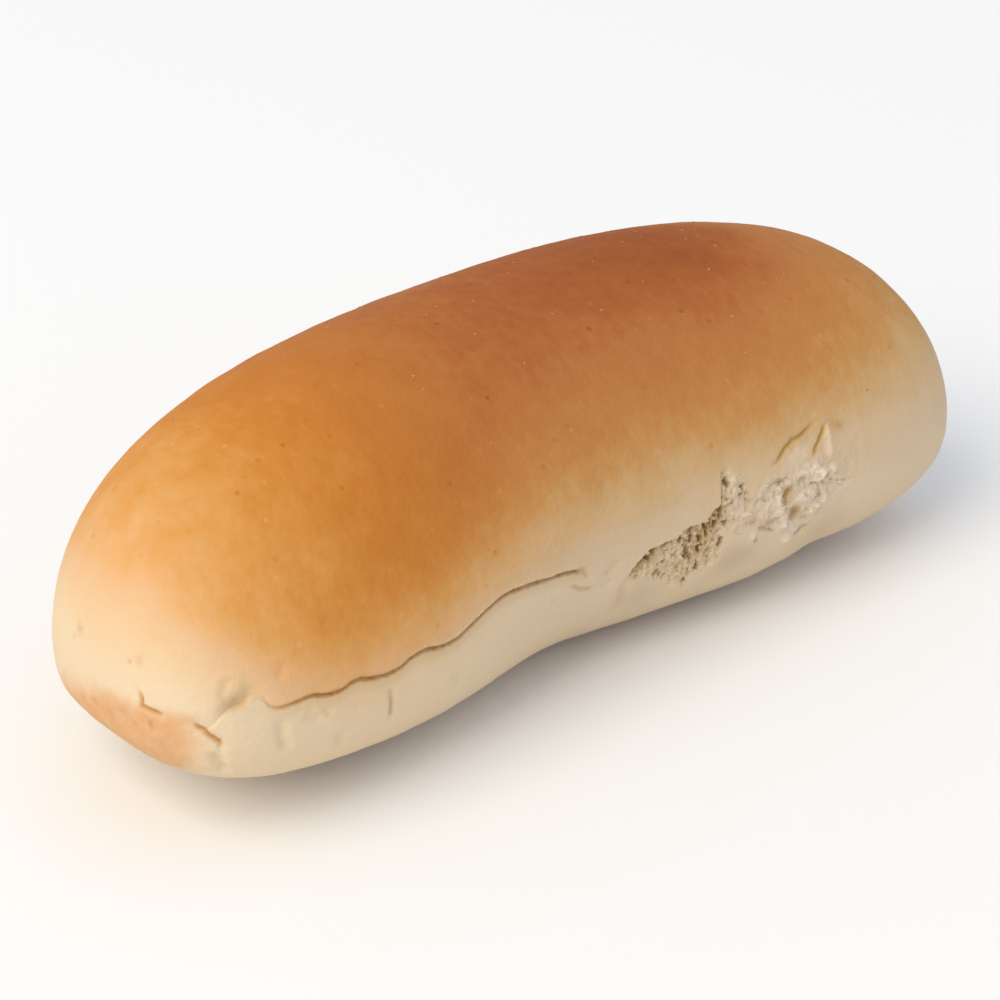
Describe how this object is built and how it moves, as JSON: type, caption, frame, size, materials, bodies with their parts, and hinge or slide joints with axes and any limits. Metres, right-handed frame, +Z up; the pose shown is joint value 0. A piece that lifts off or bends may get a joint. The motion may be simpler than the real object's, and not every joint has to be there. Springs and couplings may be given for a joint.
{
  "type": "hot dog bun",
  "caption": "Long soft bread roll, uncut, with a browned dome, pale flanks, a split along one flank and a patch of bare crumb where its neighbour was pulled off.",
  "frame": {"origin": "middle of the box's underside, on the surface that the roll lies on", "axes": "+X along the roll, -Y towards the torn flank, +Z up through the browned dome"},
  "size_m": [0.1502, 0.066, 0.0506],
  "materials": {
    "crust": "satin baked crust, golden brown on the dome and pale cream on the flanks"
  },
  "bodies": {
    "root": {"bun": "crust"}
  },
  "joints": []
}
